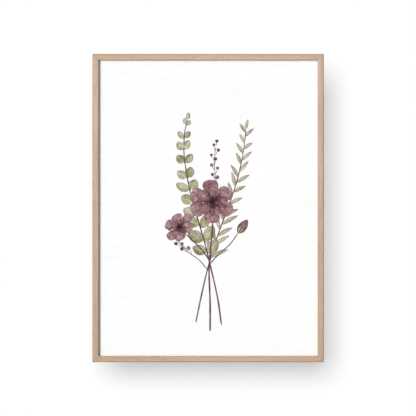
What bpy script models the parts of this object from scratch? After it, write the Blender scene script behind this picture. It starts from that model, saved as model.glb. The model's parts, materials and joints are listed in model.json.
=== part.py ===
"""A framed botanical print, ready to hang: four mitred oak rails round a clear pane, the printed
sheet and its boards, held in by turn buttons, with a toothed hanger and two bumpers.

Metres, +Z up. The picture faces -Y and the wall is the plane y = 0. The origin is the point where a
nail in the wall carries the middle notch of the hanger. Left and right are as seen from the front."""

import math

import bmesh
import bpy
from mathutils import Matrix, Vector

# Driving dimensions
FRAME_WIDTH = 0.462
FRAME_HEIGHT = 0.6155
RAIL_FACE = 0.012  # width of a rail seen from the front
RAIL_LAND = 0.007  # width of a rail seen from the back, beside the rebate
LIP_DEPTH = 0.006  # thickness of the lip in front of the pane
PANE_DEPTH = 0.002
SHEET_DEPTH = 0.0005
FILLER_DEPTH = 0.007
BACKING_DEPTH = 0.003
BUMPER_DEPTH = 0.0032
FIT_GAP = 0.0003  # between pieces that touch
SHEET_CLEARANCE = 0.0005  # between the edges of the flat pieces and the rebate
SIGHT_ROUND = 0.0006  # radius of the eased edge next to the pane
OUTER_ROUND = 0.003  # radius of the rounded outer front edge
REAR_ROUND = 0.0005

# Turn buttons, and how far each pair stands from the middle of its rail
BUTTON_REACH = 0.0165  # from the screw to the centre of the round tip
BUTTON_DEPTH = 0.001
BUTTON_HEAD_RADIUS = 0.0032
BUTTON_TIP_RADIUS = 0.0024
BUTTON_LIFT = 0.0008  # how far the tip is bent up for a finger
TOP_BUTTON_OFFSET = 0.118
SIDE_BUTTON_OFFSET = 0.162

# Screws
SHANK_RADIUS = 0.0012
SHANK_LENGTH = 0.0125
HEAD_RADIUS = 0.0025
HEAD_DEPTH = 0.0015
RECESS_LENGTH = 0.0026
RECESS_WIDTH = 0.0006
RECESS_DEPTH = 0.0007
SCREW_SIDES = 16
ROUND_END = 75  # degrees: where a pressed piece's round end is cut off square

# Toothed hanger
HANGER_HOLE_OFFSET = 0.022  # from the middle of the strip to each screw
HANGER_HALF_HEIGHT = 0.0029
HANGER_DEPTH = 0.0008
HANGER_RAISE = 0.0019  # how far the toothed edge stands off the wood
TOOTH_PITCH = 0.002
TOOTH_HEIGHT = 0.0014
NOTCH_DROP = 0.0042  # from the screws' height down to the notches
TOOTH_ROOT = 0.0003  # of plain strip between the bend and the notches
TOOTHED_HALF_LENGTH = 0.017
HANGER_BEND = 0.003  # length over which the strip comes down to its flat ends

# Corner nails
VEE_ROOT = 0.0043  # from the frame's outer corner, along the mitre
VEE_LEG = 0.0036
VEE_THICKNESS = 0.0006
VEE_DEPTH = 0.012
VEE_HALF_ANGLE = math.radians(60)

# Bumpers
BUMPER_RADIUS = 0.00475
BUMPER_INSET = 0.006  # from both outer edges of the corner
BUMPER_SIDES = 32

# Places worked out from them
RAIL_DEPTH = LIP_DEPTH + PANE_DEPTH + SHEET_DEPTH + FILLER_DEPTH + BACKING_DEPTH + 5 * FIT_GAP
REAR_Y = -(BUMPER_DEPTH + FIT_GAP)
FRONT_Y = REAR_Y - RAIL_DEPTH
LAND_MIDDLE = RAIL_LAND / 2
TOP_Z = LAND_MIDDLE + NOTCH_DROP
CENTRE_Z = TOP_Z - FRAME_HEIGHT / 2
OPENING_WIDTH = FRAME_WIDTH - 2 * (RAIL_LAND + SHEET_CLEARANCE)
OPENING_HEIGHT = FRAME_HEIGHT - 2 * (RAIL_LAND + SHEET_CLEARANCE)


# Scene and materials


def clear_scene():
    for obj in list(bpy.data.objects):
        bpy.data.objects.remove(obj, do_unlink=True)


def linear(value):
    """One channel of a screen colour, 0 to 255, as the linear value that a shader takes."""
    value /= 255
    return value / 12.92 if value <= 0.04045 else ((value + 0.055) / 1.055) ** 2.4


def make_material(name, colour, roughness, metallic=0.0, transmission=0.0):
    material = bpy.data.materials.new(name)
    material.use_nodes = True
    shader = material.node_tree.nodes["Principled BSDF"]
    shader.inputs["Base Color"].default_value = (*map(linear, colour), 1)
    shader.inputs["Roughness"].default_value = roughness
    shader.inputs["Metallic"].default_value = metallic
    shader.inputs["Transmission Weight"].default_value = transmission
    material.diffuse_color = (*map(linear, colour), 1)
    return material


def make_materials():
    return {
        "oak": make_material("raw_oak", (205, 174, 150), 0.62),
        "glass": make_material("clear_glass", (250, 252, 251), 0.04, transmission=1),
        "paper": make_material("cotton_paper", (253, 253, 251), 0.9),
        "card": make_material("corrugated_card", (186, 152, 112), 0.9),
        "board": make_material("fibreboard", (158, 124, 90), 0.8),
        "zinc": make_material("zinc_plate", (190, 192, 194), 0.35, metallic=1),
        "brass": make_material("brassed_steel", (205, 178, 118), 0.32, metallic=1),
        "rubber": make_material("grey_rubber", (196, 196, 192), 0.55),
    }


# Mesh helpers


def finished_mesh(bm, name):
    """The mesh of bm with its faces outwards, round stretches smooth and corners sharp."""
    bmesh.ops.recalc_face_normals(bm, faces=bm.faces)
    mesh = bpy.data.meshes.new(name)
    bm.to_mesh(mesh)
    bm.free()
    mesh.shade_smooth()
    mesh.set_sharp_from_angle(angle=math.radians(35))
    return mesh


def even_shading(obj):
    """Weights the normals by face area, so that flat faces look flat beside their eased edges."""
    modifier = obj.modifiers.new("even_shading", "WEIGHTED_NORMAL")
    modifier.keep_sharp = True


def place(name, mesh, material, parent, location=(0, 0, 0), turn=0.0):
    """A named object of this mesh, turned about Y, under the picture's empty."""
    obj = bpy.data.objects.new(name, mesh)
    bpy.context.scene.collection.objects.link(obj)
    if not mesh.materials:
        mesh.materials.append(material)
    obj.location = location
    obj.rotation_euler = (0, turn, 0)
    obj.parent = parent
    return obj


def arc(centre, radius, start, end, steps):
    """Points along an arc in the plane of a profile, angles in degrees."""
    angles = [math.radians(start + (end - start) * i / steps) for i in range(steps + 1)]
    return [(centre[0] + radius * math.cos(a), centre[1] + radius * math.sin(a)) for a in angles]


def smooth_step(value):
    value = min(1.0, max(0.0, value))
    return value * value * (3 - 2 * value)


def turned(profile, sides):
    """A solid turned about Y. The profile lists (radius, y) from one end to the other, and starts
    and ends on the axis."""
    bm = bmesh.new()
    first = bm.verts.new((0, profile[0][1], 0))
    last = bm.verts.new((0, profile[-1][1], 0))
    angles = [2 * math.pi * i / sides for i in range(sides)]
    rings = [
        [bm.verts.new((radius * math.cos(a), y, radius * math.sin(a))) for a in angles]
        for radius, y in profile[1:-1]
    ]
    for i in range(sides):
        j = (i + 1) % sides
        bm.faces.new((first, rings[0][i], rings[0][j]))
        bm.faces.new((last, rings[-1][j], rings[-1][i]))
        for upper, lower in zip(rings, rings[1:]):
            bm.faces.new((upper[i], lower[i], lower[j], upper[j]))
    return bm


def prism(outline, near_y, far_y):
    """A solid between two planes across Y, with this outline of (x, z) points."""
    bm = bmesh.new()
    near = [bm.verts.new((x, near_y, z)) for x, z in outline]
    far = [bm.verts.new((x, far_y, z)) for x, z in outline]
    bm.faces.new(near)
    bm.faces.new(list(reversed(far)))
    for i in range(len(outline)):
        j = (i + 1) % len(outline)
        bm.faces.new((near[j], near[i], far[i], far[j]))
    return bm


def plate(front, depth):
    """A bent plate: front is a grid of points, and the rear face is the same grid moved by depth
    along +Y. Walls close the four sides."""
    bm = bmesh.new()
    near = [[bm.verts.new(point) for point in row] for row in front]
    far = [[bm.verts.new(point + Vector((0, depth, 0))) for point in row] for row in front]
    rows, columns = len(front), len(front[0])
    for i in range(rows - 1):
        for j in range(columns - 1):
            for grid, order in ((near, 1), (far, -1)):
                corners = (grid[i][j], grid[i + 1][j], grid[i + 1][j + 1], grid[i][j + 1])
                bm.faces.new(corners[::order])
    rim = [(i, 0) for i in range(rows)]
    rim += [(rows - 1, j) for j in range(1, columns)]
    rim += [(i, columns - 1) for i in range(rows - 2, -1, -1)]
    rim += [(0, j) for j in range(columns - 2, 0, -1)]
    for (i, j), (k, m) in zip(rim, rim[1:] + rim[:1]):
        bm.faces.new((near[i][j], near[k][m], far[k][m], far[i][j]))
    return bm


def cut(obj, cutter=None, collection=None):
    """A Boolean difference, by one object or by every object of a collection."""
    modifier = obj.modifiers.new("cut", "BOOLEAN")
    modifier.operation = "DIFFERENCE"
    modifier.solver = "EXACT"
    if collection:
        modifier.operand_type = "COLLECTION"
        modifier.collection = collection
    else:
        modifier.object = cutter
    return modifier


def as_cutter(bm, name, collection, location=(0, 0, 0)):
    """A helper that only cuts: drawn as wire and left out of the render."""
    cutter = bpy.data.objects.new(name, finished_mesh(bm, name))
    collection.objects.link(cutter)
    cutter.location = location
    cutter.hide_render = True
    cutter.display_type = "WIRE"
    return cutter


def cut_mesh(bm, cutter_bm, name, bevel=0.0):
    """The mesh of bm, bevelled first if asked, with the cutter taken out of it. Copies share it."""
    scene = bpy.context.scene.collection
    blank = bpy.data.objects.new(name, finished_mesh(bm, name + "_blank"))
    scene.objects.link(blank)
    if bevel:
        edges = blank.modifiers.new("eased_edges", "BEVEL")
        edges.width = bevel
        edges.segments = 1
        edges.limit_method = "ANGLE"
        edges.angle_limit = math.radians(60)
    cutter = as_cutter(cutter_bm, name + "_cutter", scene)
    cut(blank, cutter)
    graph = bpy.context.evaluated_depsgraph_get()
    mesh = bpy.data.meshes.new_from_object(blank.evaluated_get(graph))
    mesh.name = name
    for helper in (blank, cutter):
        bpy.data.objects.remove(helper, do_unlink=True)
    mesh.materials.clear()
    mesh.shade_smooth()
    mesh.set_sharp_from_angle(angle=math.radians(35))
    return mesh


# Rails


def rail_profile():
    """The moulding's section as (distance in from the outer edge, y), once round: an L whose foot
    is the lip over the pane."""
    lip_y = FRONT_Y + LIP_DEPTH
    outer = arc((OUTER_ROUND, FRONT_Y + OUTER_ROUND), OUTER_ROUND, 180, 270, 8)
    sight = arc((RAIL_FACE - SIGHT_ROUND, FRONT_Y + SIGHT_ROUND), SIGHT_ROUND, 270, 360, 4)
    rebate = [(RAIL_FACE, lip_y), (RAIL_LAND, lip_y)]
    inner = arc((RAIL_LAND - REAR_ROUND, REAR_Y - REAR_ROUND), REAR_ROUND, 0, 90, 2)
    rear = arc((REAR_ROUND, REAR_Y - REAR_ROUND), REAR_ROUND, 90, 180, 3)
    return outer + sight + rebate + inner + rear


def rail_mesh(name, half_length, reach):
    """The bottom rail's shape: the section carried between two mitred ends. A point that lies u in
    from the outer edge ends u short of the rail's full length, which makes the 45 degree face."""
    mitre_gap = FIT_GAP / math.sqrt(2)
    bm = bmesh.new()
    ends = []
    for side in (-1, 1):
        ends.append(
            [bm.verts.new((side * (half_length - u - mitre_gap), y, u - reach)) for u, y in rail_profile()]
        )
    left, right = ends
    bm.faces.new(left)
    bm.faces.new(list(reversed(right)))
    for i in range(len(left)):
        j = (i + 1) % len(left)
        bm.faces.new((left[j], left[i], right[i], right[j]))
    return finished_mesh(bm, name)


def make_rails(materials, picture, cutters):
    """Each rail is the bottom one turned about the middle of the picture."""
    half_width, half_height = FRAME_WIDTH / 2, FRAME_HEIGHT / 2
    rails = (
        ("rail_bottom", 0, half_width, half_height),
        ("rail_right", -90, half_height, half_width),
        ("rail_top", 180, half_width, half_height),
        ("rail_left", 90, half_height, half_width),
    )
    for name, degrees, half_length, reach in rails:
        mesh = rail_mesh(name, half_length, reach)
        turn = math.radians(degrees)
        rail = place(name, mesh, materials["oak"], picture, (0, 0, CENTRE_Z), turn)
        cut(rail, collection=cutters)
        even_shading(rail)


# Pane, sheet and boards


def make_flat_pieces(materials, picture):
    """From the lip backwards, each behind the one before."""
    y = FRONT_Y + LIP_DEPTH
    pieces = (
        ("glass_pane", "glass", PANE_DEPTH),
        ("print_sheet", "paper", SHEET_DEPTH),
        ("filler_board", "card", FILLER_DEPTH),
        ("backing_board", "board", BACKING_DEPTH),
    )
    half_width, half_height = OPENING_WIDTH / 2, OPENING_HEIGHT / 2
    corners = [
        (-half_width, -half_height),
        (half_width, -half_height),
        (half_width, half_height),
        (-half_width, half_height),
    ]
    for name, material, depth in pieces:
        y += FIT_GAP
        mesh = finished_mesh(prism(corners, -depth / 2, depth / 2), name)
        place(name, mesh, materials[material], picture, (0, y + depth / 2, CENTRE_Z))
        y += depth


# Screws


def screw_profile(gap=0.0, mouth=None):
    """The shank's side from its neck to its point, as (radius, y) with y = 0 under the head. A gap
    makes the pilot hole that it stands in, and mouth is how far that hole runs out."""
    neck = 0 if mouth is None else mouth
    radius = SHANK_RADIUS + gap
    return [(radius, neck), (radius, -SHANK_LENGTH), (0, -SHANK_LENGTH - 1.6 * radius)]


def screw_mesh():
    """A pan head with a cross recess over a plain shank that ends in a point."""
    dome = [(0.45, 0.97), (0.8, 0.78), (1.0, 0.3), (0.97, 0)]
    head = [(0, HEAD_DEPTH)] + [(HEAD_RADIUS * r, HEAD_DEPTH * h) for r, h in dome]
    long, short = RECESS_LENGTH / 2, RECESS_WIDTH / 2
    cross = []
    for quarter in range(4):
        turn = Matrix.Rotation(quarter * math.pi / 2, 2)
        for x, z in ((long, -short), (long, short), (short, short)):
            cross.append(tuple(turn @ Vector((x, z))))
    recess = prism(cross, HEAD_DEPTH - RECESS_DEPTH, 2 * HEAD_DEPTH)
    return cut_mesh(turned(head + screw_profile(), SCREW_SIDES), recess, "screw")


def make_screw(name, mesh, materials, picture, spot, seat_y, cutters):
    """A screw at spot (x, z) whose head bears on seat_y, and the pilot hole for it."""
    location = (spot[0], seat_y, spot[1])
    place(name, mesh, materials["zinc"], picture, location)
    hole = [(0, HEAD_DEPTH)] + screw_profile(FIT_GAP, HEAD_DEPTH)
    as_cutter(turned(hole, SCREW_SIDES), name + "_pilot", cutters, location)


def hole_cutter(depth):
    """The clearance hole through a plate of this depth whose front is at y = 0."""
    radius = SHANK_RADIUS + FIT_GAP
    return turned([(0, -depth), (radius, -depth), (radius, 2 * depth), (0, 2 * depth)], SCREW_SIDES)


# Turn buttons


def button_outline():
    """(x, half width) along the button: a round head on the screw, straight tapering sides and a
    smaller round tip. The taper touches both circles."""
    touch = math.degrees(math.asin((BUTTON_HEAD_RADIUS - BUTTON_TIP_RADIUS) / BUTTON_REACH))
    head = arc((0, 0), BUTTON_HEAD_RADIUS, 90 + ROUND_END, 90 - touch, 5)
    tip = arc((BUTTON_REACH, 0), BUTTON_TIP_RADIUS, 90 - touch, 90 - ROUND_END, 4)
    (near_x, near), (far_x, far) = head[-1], tip[0]
    bends = []
    for share in (0.5, 0.65, 0.8):
        x = share * BUTTON_REACH
        bends.append((x, near + (far - near) * (x - near_x) / (far_x - near_x)))
    return head + bends + tip


def button_mesh():
    """A pressed steel button pointing along +X from its screw, its tip bent up for a finger."""
    front = []
    for x, half_width in button_outline():
        lift = BUTTON_LIFT * smooth_step((x - 0.5 * BUTTON_REACH) / (0.4 * BUTTON_REACH))
        front.append([Vector((x, lift, side * half_width)) for side in (-1, 0, 1)])
    return cut_mesh(plate(front, BUTTON_DEPTH), hole_cutter(BUTTON_DEPTH), "turn_button", 0.0002)


def make_buttons(materials, picture, screw, cutters):
    """Two buttons on each rail, which point inwards over the backing board."""
    mesh = button_mesh()
    side_x = FRAME_WIDTH / 2 - LAND_MIDDLE
    rise = FRAME_HEIGHT / 2 - LAND_MIDDLE
    spots = {
        "top_left": (-TOP_BUTTON_OFFSET, rise, 90),
        "top_right": (TOP_BUTTON_OFFSET, rise, 90),
        "bottom_left": (-TOP_BUTTON_OFFSET, -rise, -90),
        "bottom_right": (TOP_BUTTON_OFFSET, -rise, -90),
        "left_upper": (-side_x, SIDE_BUTTON_OFFSET, 0),
        "left_lower": (-side_x, -SIDE_BUTTON_OFFSET, 0),
        "right_upper": (side_x, SIDE_BUTTON_OFFSET, 180),
        "right_lower": (side_x, -SIDE_BUTTON_OFFSET, 180),
    }
    front_y = REAR_Y + FIT_GAP
    seat_y = front_y + BUTTON_DEPTH + FIT_GAP
    for where, (x, height, degrees) in spots.items():
        z = CENTRE_Z + height
        turn = math.radians(degrees)
        spot = (x, front_y, z)
        button = place(f"turn_button_{where}", mesh, materials["zinc"], picture, spot, turn)
        even_shading(button)
        name = f"turn_button_screw_{where}"
        make_screw(name, screw, materials, picture, (x, z), seat_y, cutters)


# Hanger


def hanger_stations():
    """x along the strip: each tooth's notch and tip, the bends beside them and the round ends."""
    step = TOOTH_PITCH / 2
    teeth = round(TOOTHED_HALF_LENGTH / step)
    right = [i * step for i in range(1, teeth + 1)]
    right += [TOOTHED_HALF_LENGTH + share * HANGER_BEND for share in (0.3, 0.6, 1)]
    right += [x for x, _ in arc((HANGER_HOLE_OFFSET, 0), HANGER_HALF_HEIGHT, 90, 90 - ROUND_END, 4)]
    return [-x for x in reversed(right)] + [0.0] + right


def hanger_row(x):
    """The strip's points at x, from its upper edge down. They lie level from one x to the next as
    far as the root of the teeth, and the last one runs along the teeth or round the ends."""
    past = max(0.0, abs(x) - HANGER_HOLE_OFFSET)
    half_height = math.sqrt(HANGER_HALF_HEIGHT**2 - past**2)
    toothed = smooth_step((TOOTHED_HALF_LENGTH + HANGER_BEND - abs(x)) / HANGER_BEND)
    tooth = TOOTH_HEIGHT * (0.5 - 0.5 * math.cos(2 * math.pi * x / TOOTH_PITCH))
    root = -half_height - (NOTCH_DROP - TOOTH_ROOT - half_height) * toothed
    edge = root - (TOOTH_ROOT + tooth) * toothed
    row = []
    for share in (0, 0.2, 0.4, 0.6, 0.8):
        raised = HANGER_RAISE * toothed * smooth_step((share - 0.2) / 0.6)
        row.append(Vector((x, raised, half_height + (root - half_height) * share)))
    row.append(Vector((x, HANGER_RAISE * toothed, edge)))
    return row


def hanger_mesh():
    """The strip's flat upper part lies on the wood, and its toothed lower part stands off it, so
    that a nail's head fits behind. The two holes are cut at its ends."""
    front = [hanger_row(x) for x in hanger_stations()]
    holes = bmesh.new()
    for side in (-1, 1):
        one = hole_cutter(HANGER_DEPTH)
        bmesh.ops.translate(one, verts=one.verts, vec=(side * HANGER_HOLE_OFFSET, 0, 0))
        loose = bpy.data.meshes.new("hole")
        one.to_mesh(loose)
        one.free()
        holes.from_mesh(loose)
    return cut_mesh(plate(front, HANGER_DEPTH), holes, "hanger_strip")


def make_hanger(materials, picture, screw, cutters):
    height = TOP_Z - LAND_MIDDLE
    front_y = REAR_Y + FIT_GAP
    place("hanger_strip", hanger_mesh(), materials["brass"], picture, (0, front_y, height))
    seat_y = front_y + HANGER_DEPTH + FIT_GAP
    for where, side in (("left", -1), ("right", 1)):
        spot = (side * HANGER_HOLE_OFFSET, height)
        make_screw(f"hanger_screw_{where}", screw, materials, picture, spot, seat_y, cutters)


# Corner nails


def vee_outline(side_x, side_z, margin=0.0):
    """The V seen from the back, as (x, z) about the frame's outer corner: two legs that start on
    the mitre and reach into one rail each. The margin widens it all round, for its slot."""
    half = VEE_THICKNESS / 2 + margin
    leg = VEE_LEG + margin
    mitre = Vector((1, 1)).normalized()
    root = mitre * VEE_ROOT
    corner = mitre * (half / math.sin(VEE_HALF_ANGLE))
    legs = []
    for sign in (-1, 1):
        way = Matrix.Rotation(sign * VEE_HALF_ANGLE, 2) @ mitre
        across = Vector((-way.y, way.x)) * sign * half
        legs.append((root + way * leg + across, root + way * leg - across))
    (outer, inner), (far_outer, far_inner) = legs
    points = [root - corner, outer, inner, root + corner, far_inner, far_outer]
    return [(-side_x * p.x, -side_z * p.y) for p in points]


def make_corner_nails(materials, picture, cutters):
    """Each nail lies just under the rails' rear faces, in a slot that crosses the mitre."""
    rear = REAR_Y - FIT_GAP
    for column, side_x in (("left", -1), ("right", 1)):
        for row, side_z in (("top", 1), ("bottom", -1)):
            name = f"corner_nail_{row}_{column}"
            corner = (side_x * FRAME_WIDTH / 2, 0, CENTRE_Z + side_z * FRAME_HEIGHT / 2)
            nail = prism(vee_outline(side_x, side_z), rear - VEE_DEPTH, rear)
            place(name, finished_mesh(nail, name), materials["zinc"], picture, corner)
            outline = vee_outline(side_x, side_z, FIT_GAP)
            slot = prism(outline, rear - VEE_DEPTH - FIT_GAP, REAR_Y + 2 * FIT_GAP)
            as_cutter(slot, name + "_slot", cutters, corner)


# Bumpers


def make_bumpers(materials, picture):
    """Low round bumpers whose flat rear faces lie in the wall's plane."""
    shape = [(0.78, 0), (0.86, 0.05), (0.92, 0.16), (1.0, 0.94), (0.97, 1.0)]
    profile = [(0, 0)] + [(BUMPER_RADIUS * r, -BUMPER_DEPTH * d) for r, d in shape]
    profile.append((0, -BUMPER_DEPTH))
    mesh = finished_mesh(turned(profile, BUMPER_SIDES), "bumper")
    height = CENTRE_Z - FRAME_HEIGHT / 2 + BUMPER_INSET
    for where, side in (("left", -1), ("right", 1)):
        x = side * (FRAME_WIDTH / 2 - BUMPER_INSET)
        bumper = place(f"bumper_{where}", mesh, materials["rubber"], picture, (x, 0, height))
        even_shading(bumper)


def main():
    clear_scene()
    materials = make_materials()
    picture = bpy.data.objects.new("framed_print", None)
    bpy.context.scene.collection.objects.link(picture)
    cutters = bpy.data.collections.new("cutters")
    bpy.context.scene.collection.children.link(cutters)
    screw = screw_mesh()
    make_flat_pieces(materials, picture)
    make_buttons(materials, picture, screw, cutters)
    make_hanger(materials, picture, screw, cutters)
    make_corner_nails(materials, picture, cutters)
    make_bumpers(materials, picture)
    make_rails(materials, picture, cutters)


main()
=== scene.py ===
"""A framed botanical print: the finishes of its oak, glass, paper, board, card, plated steel and rubber,
the painted design on its sheet, and a white wall in soft studio light."""
import json
import math
from functools import partialmethod

import bpy
import numpy as np
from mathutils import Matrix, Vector


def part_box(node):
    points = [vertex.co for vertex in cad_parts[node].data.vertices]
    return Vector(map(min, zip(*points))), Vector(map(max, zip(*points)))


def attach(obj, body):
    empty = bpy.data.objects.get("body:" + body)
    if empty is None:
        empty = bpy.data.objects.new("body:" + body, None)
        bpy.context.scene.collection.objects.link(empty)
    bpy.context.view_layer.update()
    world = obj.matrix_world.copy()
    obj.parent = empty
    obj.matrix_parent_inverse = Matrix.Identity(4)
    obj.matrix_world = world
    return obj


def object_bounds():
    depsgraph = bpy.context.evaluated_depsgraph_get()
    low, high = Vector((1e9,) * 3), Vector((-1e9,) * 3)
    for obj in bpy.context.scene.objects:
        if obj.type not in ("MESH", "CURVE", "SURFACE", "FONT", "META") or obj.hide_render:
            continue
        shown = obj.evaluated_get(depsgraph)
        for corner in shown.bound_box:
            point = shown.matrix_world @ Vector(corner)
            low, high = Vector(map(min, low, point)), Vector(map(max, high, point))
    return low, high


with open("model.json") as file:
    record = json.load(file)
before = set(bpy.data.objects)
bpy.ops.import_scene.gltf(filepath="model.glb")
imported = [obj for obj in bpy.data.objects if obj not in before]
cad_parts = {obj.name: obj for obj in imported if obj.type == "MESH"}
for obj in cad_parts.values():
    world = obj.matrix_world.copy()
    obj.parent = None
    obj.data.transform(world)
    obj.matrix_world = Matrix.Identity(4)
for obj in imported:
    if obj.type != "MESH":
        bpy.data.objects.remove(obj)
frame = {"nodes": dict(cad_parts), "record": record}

cad_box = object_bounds()
scene = bpy.context.scene

BODY = "picture"
MM = 0.001
WHITE = (1.0, 1.0, 1.0, 1.0)
lowest, highest = cad_box
HALF_WIDTH = (highest.x - lowest.x) / 2
HALF_HEIGHT = (highest.z - lowest.z) / 2
CENTRE_Z = (highest.z + lowest.z) / 2  # the picture's middle
FRONT_Y = lowest.y  # the rails' front faces
PAPER_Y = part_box("print_sheet")[0].y  # the sheet's front


# One node tree


class Wiring:
    """One node tree. Most methods add a node and give back its output socket."""

    def __init__(self, tree):
        self.nodes = tree.nodes
        self.links = tree.links

    def node(self, kind, **settings):
        made = self.nodes.new("ShaderNode" + kind)
        for name, value in settings.items():
            setattr(made, name, value)
        return made

    def feed(self, socket, value):
        """Links another node's socket, or sets a plain value."""
        if isinstance(value, bpy.types.NodeSocket):
            self.links.new(value, socket)
        else:
            socket.default_value = value

    def fill(self, made, **values):
        """Feeds a node's inputs by name, where from_min means From Min, and gives back its outputs."""
        for name, value in values.items():
            self.feed(made.inputs[name.replace("_", " ").title()], value)
        return made.outputs

    def in_order(self, made, *values):
        """Feeds a node's inputs from the first one on, and gives back its first output."""
        for socket, value in zip(made.inputs, values):
            self.feed(socket, value)
        return made.outputs[0]

    def math(self, operation, *values, clamp=False):
        return self.in_order(self.node("Math", operation=operation, use_clamp=clamp), *values)

    times = partialmethod(math, "MULTIPLY")
    plus = partialmethod(math, "ADD")
    minus = partialmethod(math, "SUBTRACT")

    def span(self, value, low, high, start=0.0, end=1.0):
        """Carries low..high to start..end with soft ends, and holds it there outside."""
        made = self.node("MapRange", interpolation_type="SMOOTHSTEP")
        return self.fill(made, value=value, from_min=low, from_max=high, to_min=start, to_max=end)[0]

    def mix(self, share, first, second, blend="MIX"):
        """Colours: share of the second over the first."""
        made = self.node("Mix", data_type="RGBA", blend_type=blend)
        for index, value in ((0, share), (6, first), (7, second)):
            self.feed(made.inputs[index], value)
        return made.outputs[2]

    def lay(self, base, colour, mask, most):
        """Lays a colour over the base where the mask is, and at the share most where the mask is full."""
        return self.mix(self.times(mask, most), base, colour)

    def place(self, vector, scale, shift=(0, 0, 0), turn=(0, 0, 0)):
        """A pattern's own axes: stretched by scale, then turned, then shifted."""
        return self.fill(self.node("Mapping"), vector=vector, scale=scale, location=shift, rotation=turn)[0]

    def noise(self, vector, scale=1.0, detail=2.0, rough=0.5, warp=0.0):
        inputs = {"vector": vector, "scale": scale, "detail": detail, "roughness": rough, "distortion": warp}
        return self.fill(self.node("TexNoise"), **inputs)[0]

    def cells(self, vector, scale=1.0, output="Distance"):
        return self.fill(self.node("TexVoronoi"), vector=vector, scale=scale)[output]

    def split(self, vector):
        """The three outputs x, y and z."""
        return self.fill(self.node("SeparateXYZ"), vector=vector)

    def join(self, x, y, z):
        return self.in_order(self.node("CombineXYZ"), x, y, z)

    def bump(self, height, depth, strength=1.0):
        """depth is how far full height stands up, in metres."""
        return self.fill(self.node("Bump"), height=height, distance=depth, strength=strength)[0]

    def effect(self, group, **inputs):
        """Places a shared effect with this finish's own values, and gives back its outputs."""
        return self.fill(self.node("Group", node_tree=group), **inputs)

    def shader(self, kind, **inputs):
        return self.fill(self.node(kind), **inputs)[0]

    def blend(self, share, first, second):
        """Shaders: share of the second over the first."""
        return self.in_order(self.node("MixShader"), share, first, second)

    def surface(self, shader, output="OutputMaterial"):
        """Makes the shader the surface of the material or world."""
        self.feed(self.node(output).inputs["Surface"], shader)


def linear(red, green, blue):
    """A screen colour, 0 to 255, as light."""
    parts = np.array([red, green, blue]) / 255
    light = np.where(parts <= 0.04045, parts / 12.92, ((parts + 0.055) / 1.055) ** 2.4)
    return (*light.tolist(), 1.0)


def new_effect(name, inputs, outputs):
    """A shared effect: an empty node group, whose sockets are given as {title: kind}. Returns (group,
    wiring, its inputs, a function that feeds its outputs by name)."""
    group = bpy.data.node_groups.new(name, "ShaderNodeTree")
    for way, sockets in (("INPUT", inputs), ("OUTPUT", outputs)):
        for title, kind in sockets.items():
            group.interface.new_socket(title, in_out=way, socket_type="NodeSocket" + kind)
    wiring = Wiring(group)
    given = group.nodes.new("NodeGroupInput").outputs
    result = group.nodes.new("NodeGroupOutput")
    return group, wiring, given, lambda **sockets: wiring.fill(result, **sockets)


def new_material(name):
    """A material with no nodes yet. Returns (material, wiring)."""
    material = bpy.data.materials.new(name)
    material.use_nodes = True
    material.node_tree.nodes.clear()
    return material, Wiring(material.node_tree)


def new_finish(name, roughness=0.5, metallic=0.0, specular=0.5):
    """A material with its Principled shader. Returns (material, wiring, the shader's
    inputs, object coordinates)."""
    material, wiring = new_material(name)
    shader = wiring.node("BsdfPrincipled")
    wiring.surface(shader.outputs[0])
    shader.inputs["Roughness"].default_value = roughness
    shader.inputs["Metallic"].default_value = metallic
    shader.inputs["Specular IOR Level"].default_value = specular
    return material, wiring, shader.inputs, wiring.node("TexCoord").outputs["Object"]


# Shared effects, with their patterns' scales in features to a metre


def make_oak_grain():
    """Straight oak. Board's X runs along the grain, in metres, and the grain sways by up to 3.5 mm. Bands
    are the year rings cut lengthwise, pores the dark dashes of the spring wood, flecks the pale ray marks,
    fibres the fine lines, and drift the slow change of hue. Height is the fibres' relief less the pores."""
    outputs = dict.fromkeys(("Bands", "Pores", "Flecks", "Fibres", "Drift", "Height"), "Float")
    group, w, given, give = new_effect("oak grain", {"Board": "Vector"}, outputs)
    board = given["Board"]
    sway = w.noise(w.place(board, (2.4, 26, 26)), detail=2)
    along, across, deep = w.split(board)
    wander = w.times(w.minus(sway, 0.5), 7 * MM)
    straight = w.join(along, w.plus(across, wander), w.plus(deep, wander))
    bands = w.span(w.noise(w.place(straight, (2.0, 300, 240)), detail=3, rough=0.55), 0.34, 0.66)
    fine = w.noise(w.place(straight, (14, 1300, 1300)), detail=3, rough=0.6)
    fibres = w.span(fine, 0.3, 0.7)
    dashes = w.noise(w.place(straight, (130, 2500, 2500)), detail=1)
    spring = w.span(bands, 0.25, 0.85, 0.09, 0.0)
    pores = w.span(w.minus(dashes, spring), 0.53, 0.66)
    rays = w.cells(w.place(straight, (70, 520, 300)))
    flecks = w.times(w.span(rays, 0.10, 0.26, 1.0, 0.0), w.span(sway, 0.45, 0.6))
    drift = w.noise(w.place(board, (6, 90, 90), shift=(3.1, 1.7, 0.4)), detail=2)
    relief = w.minus(w.times(fibres, 0.35), pores)
    give(bands=bands, pores=pores, flecks=flecks, fibres=fibres, drift=drift, height=relief)
    return group


def make_painted_edge_shade():
    """Painted shade along the rounded outer edge at the front, all round the picture. The mask fades out
    from 0.5 to 3.3 mm in from the picture's outline, and from 2 to 4 mm behind the front. How far in a point
    lies is the lesser of half the width less |x| and half the height less |z|, measured from the picture's
    middle."""
    group, w, given, give = new_effect("painted edge shade", {"Place": "Vector"}, {"Mask": "Float"})
    x, y, z = w.split(given["Place"])
    beside = w.minus(HALF_WIDTH, w.math("ABSOLUTE", x))
    above = w.minus(HALF_HEIGHT, w.math("ABSOLUTE", w.minus(z, CENTRE_Z)))
    near = w.span(w.math("MINIMUM", beside, above), 0.5 * MM, 3.3 * MM, 0.42, 0.0)
    front = w.span(y, FRONT_Y + 2 * MM, FRONT_Y + 4 * MM, 1.0, 0.0)
    give(mask=w.times(near, front))
    return group


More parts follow.
